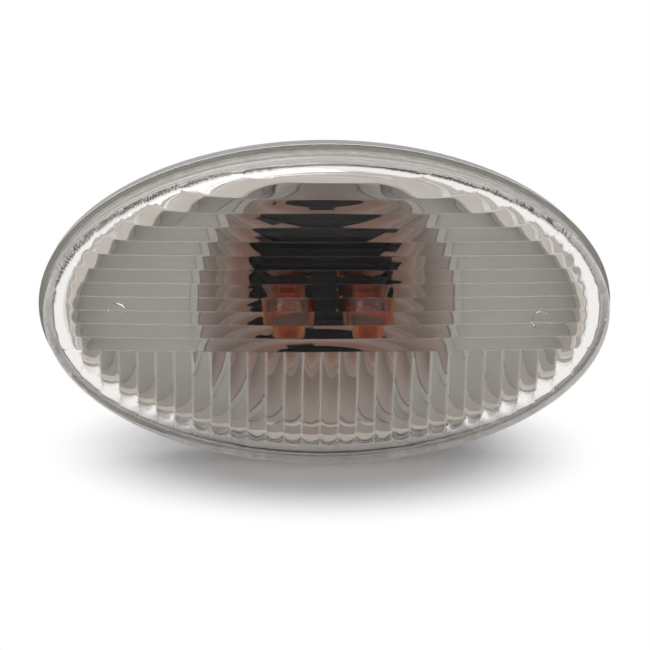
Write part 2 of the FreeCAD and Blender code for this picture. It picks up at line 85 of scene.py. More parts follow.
def startMaterial(name):
    material = bpy.data.materials.new(name)
    material.use_nodes = True
    material.node_tree.nodes.clear()
    return material, material.node_tree


# noise in object space whose features are about that many millimetres across
def grain(tree, size, detail=2.0, stretch=(1.0, 1.0, 1.0)):
    place = addNode(tree, "ShaderNodeTexCoord")
    mapped = addNode(tree, "ShaderNodeMapping", {"Scale": stretch}, {"Vector": place.outputs["Object"]})
    noise = addNode(tree, "ShaderNodeTexNoise", {"Scale": 1 / (size * mm), "Detail": detail},
                    {"Vector": mapped.outputs["Vector"]})
    return noise.outputs["Fac"]


# what patterns do to a surface: roughness and tones follow one of them, and relief in millimetres another
def skinLinks(tree, look, pattern, relief):
    middle = {"From Min": 0.3, "From Max": 0.7}  # most of a noise lies between these
    roughLow, roughHigh = look["roughness"]
    rough = addNode(tree, "ShaderNodeMapRange", {**middle, "To Min": roughLow, "To Max": roughHigh},
                    {"Value": pattern})
    bump = addNode(tree, "ShaderNodeBump", {"Strength": 1.0, "Distance": look["relief"] * mm},
                   {"Height": relief})
    links = {"Roughness": rough.outputs["Result"], "Normal": bump.outputs["Normal"]}
    if "tones" in look:
        first, second = (hexColour(tone) for tone in look["tones"])
        share = addNode(tree, "ShaderNodeMapRange", middle, {"Value": pattern})
        tone = addNode(tree, "ShaderNodeMix", {"data_type": "RGBA", 6: first, 7: second},
                       {0: share.outputs["Result"]})
        links["Base Color"] = tone.outputs[2]
    return links


# a clear body that lets lamps shine through it in its own tint
def endClear(tree, shader, tint):
    path = addNode(tree, "ShaderNodeLightPath")
    through = addNode(tree, "ShaderNodeBsdfTransparent", {"Color": hexColour(tint)})
    mixed = addNode(tree, "ShaderNodeMixShader", {},
                    {0: path.outputs["Is Shadow Ray"], 1: shader.outputs["BSDF"], 2: through.outputs["BSDF"]})
    addNode(tree, "ShaderNodeOutputMaterial", {}, {"Surface": mixed.outputs["Shader"]})


# acrylic, injection moulded and polished: clear and glossy, with a faint flow ripple, hazy patches, and
# frosted lines where the mesh is marked; its reflections are held down, so that the inside shows
def mouldedAcrylic():
    look = {"tint": "#f1efec", "shadowTint": "#e9e7e4", "reflection": "#616161", "haze": 2.2, "ripple": 9.0,
            "relief": 0.004, "roughness": (0.012, 0.05), "frosted": 0.7}
    material, tree = startMaterial("mouldedAcrylic")
    frost = addNode(tree, "ShaderNodeAttribute", {"attribute_name": "frost"})
    clear = addNode(tree, "ShaderNodeMapRange", {"To Min": 1.0, "To Max": look["frosted"]},
                    {"Value": frost.outputs["Fac"]})
    links = skinLinks(tree, look, grain(tree, look["haze"], detail=3.0),
                      grain(tree, look["ripple"], detail=0.0))
    links["Transmission Weight"] = clear.outputs["Result"]
    shader = addNode(tree, "ShaderNodeBsdfPrincipled",
                     {"Base Color": hexColour(look["tint"]), "IOR": 1.49,
                      "Specular Tint": hexColour(look["reflection"]), "Transmission Weight": 1.0}, links)
    endClear(tree, shader, look["shadowTint"])
    return material


# ramps over the housing's zones that take the painted light and painted shade: the bowl between its mouth and
# its floor, and the tray's wall
def housingZones(tree, look):
    place = addNode(tree, "ShaderNodeTexCoord").outputs["Object"]
    depth = addNode(tree, "ShaderNodeSeparateXYZ", {}, {0: place}).outputs["Y"]
    halfA, halfB = look["trayHalf"]
    lengths = []
    for scale in ((1.0, 0.0, 1.0), (1 / halfA, 0.0, 1 / halfB)):
        flat = addNode(tree, "ShaderNodeVectorMath", {"operation": "MULTIPLY", 1: scale}, {0: place})
        length = addNode(tree, "ShaderNodeVectorMath", {"operation": "LENGTH"}, {0: flat.outputs["Vector"]})
        lengths.append(length.outputs["Value"])
    radius, trayShare = lengths
    slanted = addNode(tree, "ShaderNodeMath", {"operation": "MULTIPLY_ADD", 1: look["bowlTaper"]},
                      {0: depth, 2: radius}).outputs[0]
    ramps = {}
    for zone, source, first, last in (("bowlFront", depth, 0.0, 1.0), ("bowlBack", depth, 1.0, 0.0),
                                      ("bowlRadius", slanted, 1.0, 0.0),
                                      ("paintedShadeRadius", radius, look["paintedShadeShare"], 0.0),
                                      ("wallInside", trayShare, 0.0, 1.0),
                                      ("wallOutside", trayShare, 1.0, 0.0),
                                      ("wallBack", depth, 1.0, 0.0)):
        near, far = (value * mm for value in look[zone])
        ramps[zone] = addNode(tree, "ShaderNodeMapRange",
                              {"From Min": near, "From Max": far, "To Min": first, "To Max": last},
                              {"Value": source}).outputs["Result"]
    return ramps


# ABS, moulded with a fine eroded grain: satin grey, with painted light that brightens the shaded walls of the
# bowl and the tray's wall, and painted shade, brown from the bulbs' amber light, on the bowl's floor; the
# grain is drawn coarse, so that it shows
def mouldedAbs():
    # the pale grey is painted light, which brightens the shaded walls of the bowl and the tray's wall
    look = {"greys": ("#b2b1af", "#a5a4a2"), "paintedLight": "#dedad6", "paintedAmberShade": "#93624a", "mottle": 14.0,
            "grit": 0.35, "relief": 0.03, "roughness": (0.42, 0.56),
            "bowlFront": (-4.2, -3.8), "bowlBack": (17.4, 17.9), "bowlRadius": (24.4, 24.8),
            "bowlTaper": 0.154, "paintedShadeRadius": (17.0, 23.2), "paintedShadeShare": 0.85, "trayHalf": (48.0, 24.65),
            "wallInside": (0.975, 0.99), "wallOutside": (1.07, 1.08), "wallBack": (-4.7, -4.5)}
    material, tree = startMaterial("mouldedAbs")
    pale, dull = (hexColour(grey) for grey in look["greys"])
    colour = addNode(tree, "ShaderNodeMix", {"data_type": "RGBA", 6: pale, 7: dull},
                     {0: grain(tree, look["mottle"], detail=4.0)}).outputs[2]
    ramps = housingZones(tree, look)
    # painted light goes on the bowl's walls and the tray's wall; brown painted shade, tinted by the bulbs'
    # amber light, goes on the bowl's floor
    for tone, zones in (("paintedLight", ("bowlFront", "bowlBack", "bowlRadius")),
                        ("paintedLight", ("wallInside", "wallOutside", "wallBack")),
                        ("paintedAmberShade", ("bowlFront", "bowlBack", "paintedShadeRadius"))):
        share = ramps[zones[0]]
        for zone in zones[1:]:
            share = addNode(tree, "ShaderNodeMath", {"operation": "MULTIPLY"},
                            {0: share, 1: ramps[zone]}).outputs[0]
        colour = addNode(tree, "ShaderNodeMix", {"data_type": "RGBA", 7: hexColour(look[tone])},
                         {0: share, 6: colour}).outputs[2]
    grit = grain(tree, look["grit"])
    shader = addNode(tree, "ShaderNodeBsdfPrincipled", {"IOR": 1.52},
                     {"Base Color": colour, **skinLinks(tree, look, grit, grit)})
    addNode(tree, "ShaderNodeOutputMaterial", {}, {"Surface": shader.outputs["BSDF"]})
    return material


# polyamide filled with glass fibre, moulded: near black and dull, with short pale flecks along the flow; real
# fibres are too fine to show, so the flecks are drawn half a millimetre wide
def filledPolyamide():
    look = {"tones": ("#0a0a0b", "#161618"), "fibre": 0.5, "stretch": (1.0, 0.25, 1.0), "relief": 0.03,
            "roughness": (0.6, 0.8)}
    material, tree = startMaterial("filledPolyamide")
    fibre = grain(tree, look["fibre"], detail=3.0, stretch=look["stretch"])
    shader = addNode(tree, "ShaderNodeBsdfPrincipled", {"IOR": 1.53, "Specular IOR Level": 0.1},
                     skinLinks(tree, look, fibre, fibre))
    addNode(tree, "ShaderNodeOutputMaterial", {}, {"Surface": shader.outputs["BSDF"]})
    return material


# soda glass dipped in amber lacquer: dark orange, deeper where the lacquer ran thick, with a wavy surface
def dippedGlass():
    look = {"tones": ("#ff9932", "#e2701a"), "shadowTint": "#e08a3c", "runs": 5.0, "stretch": (1.0, 0.3, 1.0),
            "wave": 3.0, "relief": 0.01, "roughness": (0.015, 0.05)}
    material, tree = startMaterial("dippedGlass")
    runs = grain(tree, look["runs"], stretch=look["stretch"])
    shader = addNode(tree, "ShaderNodeBsdfPrincipled", {"IOR": 1.5, "Transmission Weight": 1.0},
                     skinLinks(tree, look, runs, grain(tree, look["wave"], detail=0.0)))
    endClear(tree, shader, look["shadowTint"])
    return material


# lead glass fused round the wires: clear, with a soft wavy surface
def fusedGlass():
    look = {"tint": "#e6ebe6", "wave": 1.0, "relief": 0.03, "roughness": (0.02, 0.08)}
    material, tree = startMaterial("fusedGlass")
    wave = grain(tree, look["wave"], detail=1.0)
    shader = addNode(tree, "ShaderNodeBsdfPrincipled",
                     {"Base Color": hexColour(look["tint"]), "IOR": 1.55, "Transmission Weight": 1.0},
                     skinLinks(tree, look, wave, wave))
    endClear(tree, shader, look["tint"])
    return material


# metal with a drawn or rolled grain along one axis; the lines are coarser than real ones, so that they show
def grainedMetal(name, look):
    material, tree = startMaterial(name)
    streak = grain(tree, look["streak"], stretch=look["stretch"])
    shader = addNode(tree, "ShaderNodeBsdfPrincipled", {"Metallic": 1.0},
                     skinLinks(tree, look, streak, streak))
    addNode(tree, "ShaderNodeOutputMaterial", {}, {"Surface": shader.outputs["BSDF"]})
    return material


# rubber, foam and sealant: dull, with skin pores or cells and a cloudy tone
def softSkin(name, look):
    material, tree = startMaterial(name)
    place = addNode(tree, "ShaderNodeTexCoord")
    cells = addNode(tree, "ShaderNodeTexVoronoi", {"Scale": 1 / (look["cell"] * mm)},
                    {"Vector": place.outputs["Object"]})
    shader = addNode(tree, "ShaderNodeBsdfPrincipled", {"IOR": 1.5},
                     skinLinks(tree, look, grain(tree, look["cloud"], detail=3.0), cells.outputs["Distance"]))
    addNode(tree, "ShaderNodeOutputMaterial", {}, {"Surface": shader.outputs["BSDF"]})
    return material


# one material for each slot of the record
materials = {
    "lens": mouldedAcrylic(),
    "housing": mouldedAbs(),
    "holder": filledPolyamide(),
    "amber_glass": dippedGlass(),
    "bead": fusedGlass(),
    # tungsten, drawn and coiled: dark grey metal with fine die lines
    "filament": grainedMetal("drawnTungsten", {
        "tones": ("#8f8f94", "#6c6c72"), "streak": 0.2, "stretch": (0.3, 1.0, 1.0), "relief": 0.004,
        "roughness": (0.3, 0.45)}),
    # nickel-iron wire, drawn: warm silver with die lines along it
    "lead": grainedMetal("drawnNickelIron", {
        "tones": ("#c9c0b2", "#a2988a"), "streak": 0.25, "stretch": (1.0, 0.2, 1.0), "relief": 0.005,
        "roughness": (0.2, 0.38)}),
    # brass strip, rolled and stamped: yellow metal with rolling lines and duller streaks
    "terminal": grainedMetal("rolledBrass", {
        "tones": ("#d6b36a", "#a9813f"), "streak": 0.4, "stretch": (1.0, 0.12, 1.0), "relief": 0.006,
        "roughness": (0.24, 0.42)}),
    # EPDM, moulded: dull black with a pored skin, drawn coarse so that it shows
    "seal": softSkin("mouldedEpdm", {
        "tones": ("#242425", "#1a1a1b"), "cell": 0.4, "cloud": 3.0, "relief": 0.02,
        "roughness": (0.6, 0.8)}),
    # polyethylene foam, cut from sheet: charcoal with closed cells
    "foam": softSkin("cutFoam", {
        "tones": ("#343536", "#262728"), "cell": 0.8, "cloud": 4.0, "relief": 0.12,
        "roughness": (0.8, 0.95)}),
    # lens sealant, run in hot and cured: dull off-white bead with small flecks
    "sealant": softSkin("curedSealant", {
        "tones": ("#f6f5f3", "#d6d4d2"), "cell": 1.2, "cloud": 1.6, "relief": 0.03,
        "roughness": (0.5, 0.7)}),
}
print("materials made")


# a node's lowest and highest corners in millimetres
def nodeBox(node):
    return [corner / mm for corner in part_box(node)]


def addObject(name, data):
    added = bpy.data.objects.new(name, data)
    bpy.context.scene.collection.objects.link(added)
    return added


# a draft's mesh with its modifiers or its bevel; the draft itself goes
def bakeDraft(draft):
    mesh = bpy.data.meshes.new_from_object(draft.evaluated_get(bpy.context.evaluated_depsgraph_get()))
    bpy.data.objects.remove(draft)
    return mesh


# a mesh that rides on the part in place of a node, in the material of the node's slot
def finishPiece(name, mesh, node, smoothAngle=None):
    if smoothAngle:
        mesh.shade_smooth()
        mesh.set_sharp_from_angle(angle=math.radians(smoothAngle))
    piece = addObject(name, mesh)
    slotName = next(row["material_slot"] for row in frame["record"]["subparts"] if row["node"] == node)
    mesh.materials.clear()
    mesh.materials.append(materials[slotName])
    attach(piece, "root")
    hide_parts(node)
    return piece


# such a piece from points in millimetres
def makePiece(name, points, faces, node, smoothAngle):
    mesh = bpy.data.meshes.new(name)
    mesh.from_pydata([Vector(point) * mm for point in points], [], faces)
    return finishPiece(name, mesh, node, smoothAngle)


# quads between two rings of the same count
def bridge(faces, first, second):
    count = len(first)
    for index in range(count):
        after = (index + 1) % count
        faces.append((first[index], first[after], second[after], second[index]))


# triangles from a ring to one point
def fan(faces, ring, middle):
    count = len(ring)
    for index in range(count):
        faces.append((ring[index], ring[(index + 1) % count], middle))


# lens: millimetres and degrees; its box comes from the frame
lensSizes = {
    "lipWidth": 1.6, "lipDepth": 1.8, "lipRound": 0.35, "lipGap": 0.05,  # the lip stands just off the flange
    "tongueDepth": 0.8, "wetIn": 0.05,  # the tongue reaches a little into the sealant
    "skirtWall": 2.6, "shoulderWidth": 5.0, "shoulderSteps": 16, "crownSlope": 6.0, "crownSteps": 12,
    "web": 2.6, "innerRound": 4.6, "cornerFrom": 0.8,  # the corner is worked out past this share of the bore
    "levelPitch": 2.53, "levelRise": 0.2, "levelSteps": 10,
    "uprightPitch": 3.35, "uprightRise": 0.55, "uprightSteps": 9, "uprightRow": 0.55,
    "valley": 0.14, "uprightLine": 0.36,  # half-widths of the rounded valleys and of the lower frosted lines
    # the upper lines are faint in the middle, and grow from the first distance over the second
    "polished": (16.0, 12.0), "polishedFrost": 0.2,
    "split": -5.6, "splitStep": 0.02,
    "fieldHalf": 47.2, "fieldTop": 26.0, "fieldBottom": 24.0, "fieldPower": 2.3,
    "bandTurn": 1.2, "topShare": 0.985,  # rows of the plain band, and the highest that the flutes may reach
    "padOffset": 38.6, "padHeights": (1.6, 0.0), "padRadius": 1.8, "padEdge": 0.4, "padProud": 0.45,
    "smoothAngle": 50.0,
}


# the sizes with the ovals and levels that follow from the lens's box
def lensForm(sizes):
    low, high = nodeBox("lens")
    form = dict(sizes, crownLevel=low.y, slope=math.radians(sizes["crownSlope"]))
    form["rimLevel"] = high.y - sizes["tongueDepth"] - sizes["lipGap"]
    form["tongueLevel"] = high.y + sizes["wetIn"]
    for axis, half in (("A", high.x), ("B", high.z)):
        skirt = half - sizes["lipWidth"]
        form["skirt" + axis] = skirt
        form["bore" + axis] = skirt - sizes["skirtWall"]
        form["crown" + axis] = skirt - sizes["shoulderWidth"]
    form["sag"] = math.tan(form["slope"]) * (form["crownA"] + form["crownB"]) / 4
    return form


# half-length of a flute whose middle lies that far out
def fluteReach(form, half, away, limit):
    power = form["fieldPower"]
    return half * max(0.0, 1 - (abs(away) / limit) ** power) ** (1 / power)


# where a spot lies on its flute: distance from the spine, distance past the spine's end, pitch and rise
def flutePlace(form, x, z, upper):
    if upper:
        pitch = form["levelPitch"]
        middle = form["split"] + (math.floor((z - form["split"]) / pitch) + 0.5) * pitch
        end = fluteReach(form, form["fieldHalf"], middle, form["fieldTop"])
        return abs(z - middle), abs(x) - end + pitch / 2, pitch, form["levelRise"]
    pitch = form["uprightPitch"]
    middle = round(x / pitch) * pitch
    end = fluteReach(form, form["fieldBottom"], middle, form["fieldHalf"])
    return abs(x - middle), -z - end + pitch / 2, pitch, form["uprightRise"]


# a ridge with a ball end: its height falls with the distance from its spine, into a rounded valley
def ridgeHeight(form, aside, beyond, pitch, rise):
    away = min(1.0, math.hypot(aside, max(0.0, beyond)) / (pitch / 2))
    turn = 1 - 2 * form["valley"] / pitch
    height = 1 - away ** 2
    if away > turn:
        height = (1 - turn) * turn * ((1 - away) / (1 - turn)) ** 2 + 1 - turn ** 2 - (1 - turn) * turn
    return rise * height


# the tool's cusps leave a frosted line along each valley
def valleyFrost(form, x, z, upper):
    aside, beyond, pitch = flutePlace(form, x, z, upper)[:3]
    if beyond > pitch / 2:
        return 0.0
    line = max(0.0, 1 - (pitch / 2 - aside) / form["valley" if upper else "uprightLine"])
    if upper:
        start, length = form["polished"]
        outward = min(1.0, max(0.0, (abs(x) - start) / length))
        line *= form["polishedFrost"] + (1 - form["polishedFrost"]) * outward
    return line


# the inner face: an even web behind the crown, flutes, pads and a rounded corner at the bore
def innerLevel(form, x, z, upper):
    level = form["crownLevel"] + form["web"]
    level += form["sag"] * ((x / form["crownA"]) ** 2 + (z / form["crownB"]) ** 2)
    rise = ridgeHeight(form, *flutePlace(form, x, z, upper))
    fromPad = math.hypot(abs(x) - form["padOffset"], z - form["padHeights"][0 if x < 0 else 1])
    pad = min(1.0, max(0.0, (form["padRadius"] - fromPad) / form["padEdge"]))
    level += rise * (1 - pad) + (form["levelRise"] + form["padProud"]) * pad
    share = math.hypot(x / form["boreA"], z / form["boreB"])
    if share > form["cornerFrom"]:
        steep = math.hypot(x / form["boreA"] ** 2, z / form["boreB"] ** 2)
        toWall = max(0.0, (1 - share) * share / steep)
        inside = max(0.0, form["innerRound"] - toWall)
        level += form["innerRound"] - math.sqrt(form["innerRound"] ** 2 - inside ** 2)
    return level


# the inner face's rows from the bottom to the top, each a height and whether its flutes are the upper ones;
# two rows lie close together at the split
def innerRows(form):
    boreB, split, quarter = form["boreB"], form["split"], math.pi / 2
    turn = math.radians(form["bandTurn"])
    lowEdge = -form["fieldBottom"] - form["uprightRow"]
    bottomStart = math.asin(lowEdge / boreB)
    topStart = math.asin(min(form["fieldTop"] / boreB, form["topShare"]))
    bottomCount = math.ceil((bottomStart + quarter) / turn)
    topCount = math.ceil((quarter - topStart) / turn)
    rows = []
    for index in range(bottomCount):
        angle = -quarter + (bottomStart + quarter) * index / bottomCount
        rows.append((boreB * math.sin(angle), False))
    lowerCount = round((split - lowEdge) / form["uprightRow"])
    for index in range(lowerCount + 1):
        share = index / lowerCount
        rows.append((lowEdge + (split - form["splitStep"] - lowEdge) * share, False))

    pitch, valley, steps = form["levelPitch"], form["valley"], form["levelSteps"]
    places = [0.0, valley / 3, valley * 2 / 3]
    places += [valley + (pitch - 2 * valley) * index / steps for index in range(steps + 1)]
    places += [pitch - valley * 2 / 3, pitch - valley / 3]
    top = boreB * math.sin(topStart)
    for flute in range(math.ceil((top - split) / pitch)):
        heights = [split + flute * pitch + place for place in places]
        rows += [(height, True) for height in heights if height < top]
    lastAngle = math.asin(rows[-1][0] / boreB)
    for index in range(1, topCount + 1):
        angle = lastAngle + (quarter - lastAngle) * index / topCount
        rows.append((boreB * math.sin(angle), True))
    return rows


# where points stand across the inner face: even steps over each upright flute, closer in its valleys
def innerColumns(form):
    pitch, valley, steps = form["uprightPitch"], form["valley"], form["uprightSteps"]
    inner = pitch - 2 * valley
    fluteCount = math.ceil(form["boreA"] / pitch)
    columns = []
    for flute in range(-fluteCount, fluteCount + 1):
        start = (flute - 0.5) * pitch
        columns += [start, start + valley / 2]
        columns += [start + valley + inner * index / steps for index in range(steps + 1)]
        columns.append(start + pitch - valley / 2)
    return columns


# triangles between neighbouring rows, always stepping along the row that lags
def stitchRows(points, faces, below, above):
    lower, upper = 0, 0
    while lower < len(below) - 1 or upper < len(above) - 1:
        canLower = lower < len(below) - 1
        canUpper = upper < len(above) - 1
        if canLower and (not canUpper or points[below[lower + 1]][0] <= points[above[upper + 1]][0]):
            faces.append((below[lower], below[lower + 1], above[upper]))
            lower += 1
        else:
            faces.append((below[lower], above[upper + 1], above[upper]))
            upper += 1


# the outside as insets from the skirt's oval and levels: tongue, lip, skirt and rounded shoulder
def outerProfile(form):
    tongue, rim, lip, ease = form["tongueLevel"], form["rimLevel"], form["lipWidth"], form["lipRound"]
    wall = form["skirtA"] - form["boreA"]
    lipFront = rim - form["lipDepth"]
    profile = [
        (wall, tongue - ease), (wall - ease, tongue), (ease, tongue), (0.0, tongue - ease),
        (0.0, rim), (ease - lip, rim), (-lip, rim - ease),
        (-lip, lipFront + ease), (ease - lip, lipFront), (-ease, lipFront), (0.0, lipFront - ease),
    ]
    slope, width, steps = form["slope"], form["shoulderWidth"], form["shoulderSteps"]
    radius = width / (1 - math.sin(slope))
    for index in range(steps + 1):
        angle = math.pi / 2 - (math.pi / 2 - slope) * index / steps
        inset = width - radius * (math.sin(angle) - math.sin(slope))
        level = form["crownLevel"] + form["sag"] + radius * (math.cos(slope) - math.cos(angle))
        profile.append((inset, level))
    return profile


def buildLens(sizes):
    form = lensForm(sizes)
    boreA, boreB, crown = form["boreA"], form["boreB"], form["crownLevel"]
    points, faces, frost, rows = [], [], [], []
    columns = innerColumns(form)
    step = form["uprightPitch"] / form["uprightSteps"]
    for z, upper in innerRows(form):
        half = boreA * math.sqrt(max(0.0, 1 - (z / boreB) ** 2))
        across = [0.0]
        if half >= step:
            across = [-half] + [x for x in columns if abs(x) < half - step / 2] + [half]
        rows.append(range(len(points), len(points) + len(across)))
        points.extend((x, innerLevel(form, x, z, upper), z) for x in across)
        frost.extend(valleyFrost(form, x, z, upper) for x in across)
    for below, above in zip(rows, rows[1:]):
        stitchRows(points, faces, below, above)

    # the inner face's edge, round once, gives the angles of every outer ring
    edge = [rows[0][0]] + [row[-1] for row in rows[1:-1]]
    edge += [rows[-1][0]] + [row[0] for row in reversed(rows[1:-1])]
    angles = [math.atan2(points[index][2] / boreB, points[index][0] / boreA) for index in edge]
    ovals = [(form["skirtA"] - inset, form["skirtB"] - inset, level) for inset, level in outerProfile(form)]
    for index in range(1, form["crownSteps"]):
        share = 1 - index / form["crownSteps"]
        ovals.append((form["crownA"] * share, form["crownB"] * share, crown + form["sag"] * share ** 2))
    rings = [edge]
    for halfA, halfB, level in ovals:
        rings.append(range(len(points), len(points) + len(angles)))
        points.extend((halfA * math.cos(angle), level, halfB * math.sin(angle)) for angle in angles)
    for first, second in zip(rings, rings[1:]):
        bridge(faces, first, second)
    points.append((0.0, crown, 0.0))
    fan(faces, rings[-1], len(points) - 1)

    lens = makePiece("lens_moulding", points, faces, "lens", form["smoothAngle"])
    marks = lens.data.attributes.new("frost", "FLOAT", "POINT")
    marks.data.foreach_set("value", frost + [0.0] * (len(points) - len(frost)))
    shape = bmesh.new()
    shape.from_mesh(lens.data)
    bmesh.ops.recalc_face_normals(shape, faces=shape.faces)
    shape.to_mesh(lens.data)
    shape.free()
    print("lens:", len(points), "points,", len(faces), "faces")


buildLens(lensSizes)

# mouldings, rings and strips that keep their node's form: each one's name and how wide its edges are eased
easings = {
    "housing": ("housing_moulding", 0.2),
    "bulb_holder": ("holder_moulding", 0.15),
    "holder_seal": ("seal_ring", 0.3),
    "fender_gasket": ("gasket_ring", 0.2),
    "lens_sealant": ("sealant_bead", 0.1),
    "feed_terminal": ("feed_strip", 0.06),
    "earth_terminal": ("earth_strip", 0.06),
}
# millimetres and degrees; a cut is an axis and a place on it, and the cuts cross every opening
easeSizes = {"weld": 0.002, "cutWeld": 0.001, "flatAngle": 0.05, "sharpAngle": 32.0, "smoothAngle": 60.0,
             "cuts": ((0, 0.0), (2, 0.0), (0, 7.4), (0, -7.4), (0, 2.0), (0, -2.0))}


# flat faces are merged between the seams that the cuts leave, and then the sharp edges are eased
def easeEdges(node, name, width, sizes):
    shape = bmesh.new()
    shape.from_mesh(frame["nodes"][node].data)
    bmesh.ops.remove_doubles(shape, verts=shape.verts, dist=sizes["weld"] * mm)
    for axis, place in sizes["cuts"]:
        spot, normal = Vector((0, 0, 0)), Vector((0, 0, 0))
        spot[axis], normal[axis] = place * mm, 1.0
        everything = shape.verts[:] + shape.edges[:] + shape.faces[:]
        cut = bmesh.ops.bisect_plane(shape, geom=everything, dist=sizes["cutWeld"] * mm, plane_co=spot,
                                     plane_no=normal)
        for part in cut["geom_cut"]:
            if isinstance(part, bmesh.types.BMEdge):
                part.seam = True
    bmesh.ops.dissolve_limit(shape, angle_limit=math.radians(sizes["flatAngle"]), verts=shape.verts,
                             edges=shape.edges, delimit={"SEAM"})
    sharpAngle = math.radians(sizes["sharpAngle"])
    sharp = [edge for edge in shape.edges
             if len(edge.link_faces) == 2 and edge.calc_face_angle(0.0) > sharpAngle]
    bmesh.ops.bevel(shape, geom=sharp, offset=width * mm, segments=2, profile=0.5, affect="EDGES",
                    clamp_overlap=False, miter_outer="ARC")
    print(name, len(shape.faces), "faces,", sum(not edge.is_manifold for edge in shape.edges), "open edges")

    draftMesh = bpy.data.meshes.new(name + "_draft")
    shape.to_mesh(draftMesh)
    shape.free()
    draftMesh.shade_smooth()
    draftMesh.set_sharp_from_angle(angle=math.radians(sizes["smoothAngle"]))
    draft = addObject(name + "_draft", draftMesh)
    draft.modifiers.new("weigh", "WEIGHTED_NORMAL").keep_sharp = True
    mesh = bakeDraft(draft)
    mesh.name = name
    finishPiece(name, mesh, node)


for nodeName, (pieceName, easeWidth) in easings.items():
    easeEdges(nodeName, pieceName, easeWidth, easeSizes)
print("rigid pieces eased")

# bulb glass: millimetres and degrees; its box comes from the frame
envelopeSizes = {
    "wall": 0.55, "neck": 3.0, "neckRadius": 3.6, "floor": 1.2, "turns": 48, "domeSteps": 14, "neckSteps": 6,
    "pinchLength": 7.6, "pinchThickness": 2.2, "pinchWidth": 9.2, "pinchRound": 0.45, "pinchTurn": 18,
    "pinchGap": 0.01, "pinchEase": 0.3, "pinchTop": 0.9, "pinchEnd": 0.94,  # the ends draw in to these shares
    "smoothAngle": 60.0,
}


# where a bulb's axis stands along X
def bulbMiddle(side):
    low, high = nodeBox("bulb_glass_" + side)
    return (low.x + high.x) / 2


# turns a profile of (radius, level) that starts and ends on the axis into a closed skin
def turnSkin(points, faces, profile, middle, turns):
    first = len(points)
    points.append((middle, profile[0][1], 0.0))
    rings = []
    for away, level in profile[1:-1]:
        rings.append(range(len(points), len(points) + turns))
        for index in range(turns):
            angle = 2 * math.pi * index / turns
            points.append((middle + away * math.cos(angle), level, away * math.sin(angle)))
    points.append((middle, profile[-1][1], 0.0))
    fan(faces, rings[0], first)
    for one, other in zip(rings, rings[1:]):
        bridge(faces, other, one)
    fan(faces, rings[-1][::-1], len(points) - 1)


# a round tip, a straight side, a neck that draws in and a flat floor
def envelopeProfile(sizes, away, tipLevel, neckRadius, neckLevel, floorLevel):
    profile = []
    for index in range(sizes["domeSteps"] + 1):
        angle = math.pi / 2 * index / sizes["domeSteps"]
        profile.append((away * math.sin(angle), tipLevel + away * (1 - math.cos(angle))))
    for index in range(sizes["neckSteps"] + 1):
        share = index / sizes["neckSteps"]
        eased = share * share * (3 - 2 * share)
        profile.append((away + (neckRadius - away) * eased, neckLevel + (floorLevel - neckLevel) * share))
    profile.append((0.0, floorLevel))
    return profile


# the flat base, an oblong with rounded long edges
def addPinch(points, faces, sizes, middle, seat, end):
    ease = sizes["pinchRound"]
    reachX, reachZ = sizes["pinchWidth"] / 2 - ease, sizes["pinchThickness"] / 2 - ease
    section = []
    for cornerX, cornerZ, begin in ((1, 1, 0), (-1, 1, 90), (-1, -1, 180), (1, -1, 270)):
        for turn in range(0, 91, sizes["pinchTurn"]):
            angle = math.radians(begin + turn)
            section.append((cornerX * reachX + ease * math.cos(angle),
                            cornerZ * reachZ + ease * math.sin(angle)))
    rings = []
    for level, share in ((seat + sizes["pinchGap"], sizes["pinchTop"]), (seat + sizes["pinchEase"], 1.0),
                         (end - sizes["pinchEase"], 1.0), (end, sizes["pinchEnd"])):
        rings.append(range(len(points), len(points) + len(section)))
        points.extend((middle + x * share, level, z * share) for x, z in section)
    faces.append(tuple(rings[0]))
    for one, other in zip(rings, rings[1:]):
        bridge(faces, other, one)
    faces.append(tuple(rings[-1][::-1]))


def buildEnvelope(side, sizes):
    node = "bulb_glass_" + side
    low, high = nodeBox(node)
    middle, radius = bulbMiddle(side), (high.x - low.x) / 2
    tip, seat = low.y, high.y - sizes["pinchLength"]
    wall, neckRadius, neckLevel = sizes["wall"], sizes["neckRadius"], seat - sizes["neck"]
    points, faces = [], []
    outer = envelopeProfile(sizes, radius, tip, neckRadius, neckLevel, seat)
    inner = envelopeProfile(sizes, radius - wall, tip + wall, neckRadius - wall, neckLevel - wall,
                            seat - sizes["floor"])
    for profile in (outer, inner[::-1]):
        turnSkin(points, faces, profile, middle, sizes["turns"])
    addPinch(points, faces, sizes, middle, seat, high.y)
    makePiece("bulb_envelope_" + side, points, faces, node, sizes["smoothAngle"])


# wires: steps round the section and along each span of the route
wireSets = {"bevelSteps": 3, "routeSteps": 4, "order": 3, "smoothAngle": 60.0}


# a wire of round section through points in millimetres, smoothed as one spline
def makeWire(name, route, radius, node, sets):
    curve = bpy.data.curves.new(name + "_route", "CURVE")
    curve.dimensions = "3D"
    curve.bevel_depth = radius * mm
    curve.bevel_resolution = sets["bevelSteps"]
    curve.use_fill_caps = True
    curve.resolution_u = sets["routeSteps"]
    spline = curve.splines.new("NURBS")
    spline.points.add(len(route) - 1)
    for point, spot in zip(spline.points, route):
        point.co = (*(Vector(spot) * mm), 1.0)
    spline.order_u = sets["order"]
    spline.use_endpoint_u = True
    finishPiece(name, bakeDraft(addObject(name + "_draft", curve)), node, sets["smoothAngle"])


# filament coil: millimetres; its box comes from the frame
coilSizes = {"turns": 13, "pointsPerTurn": 12, "wire": 0.06}


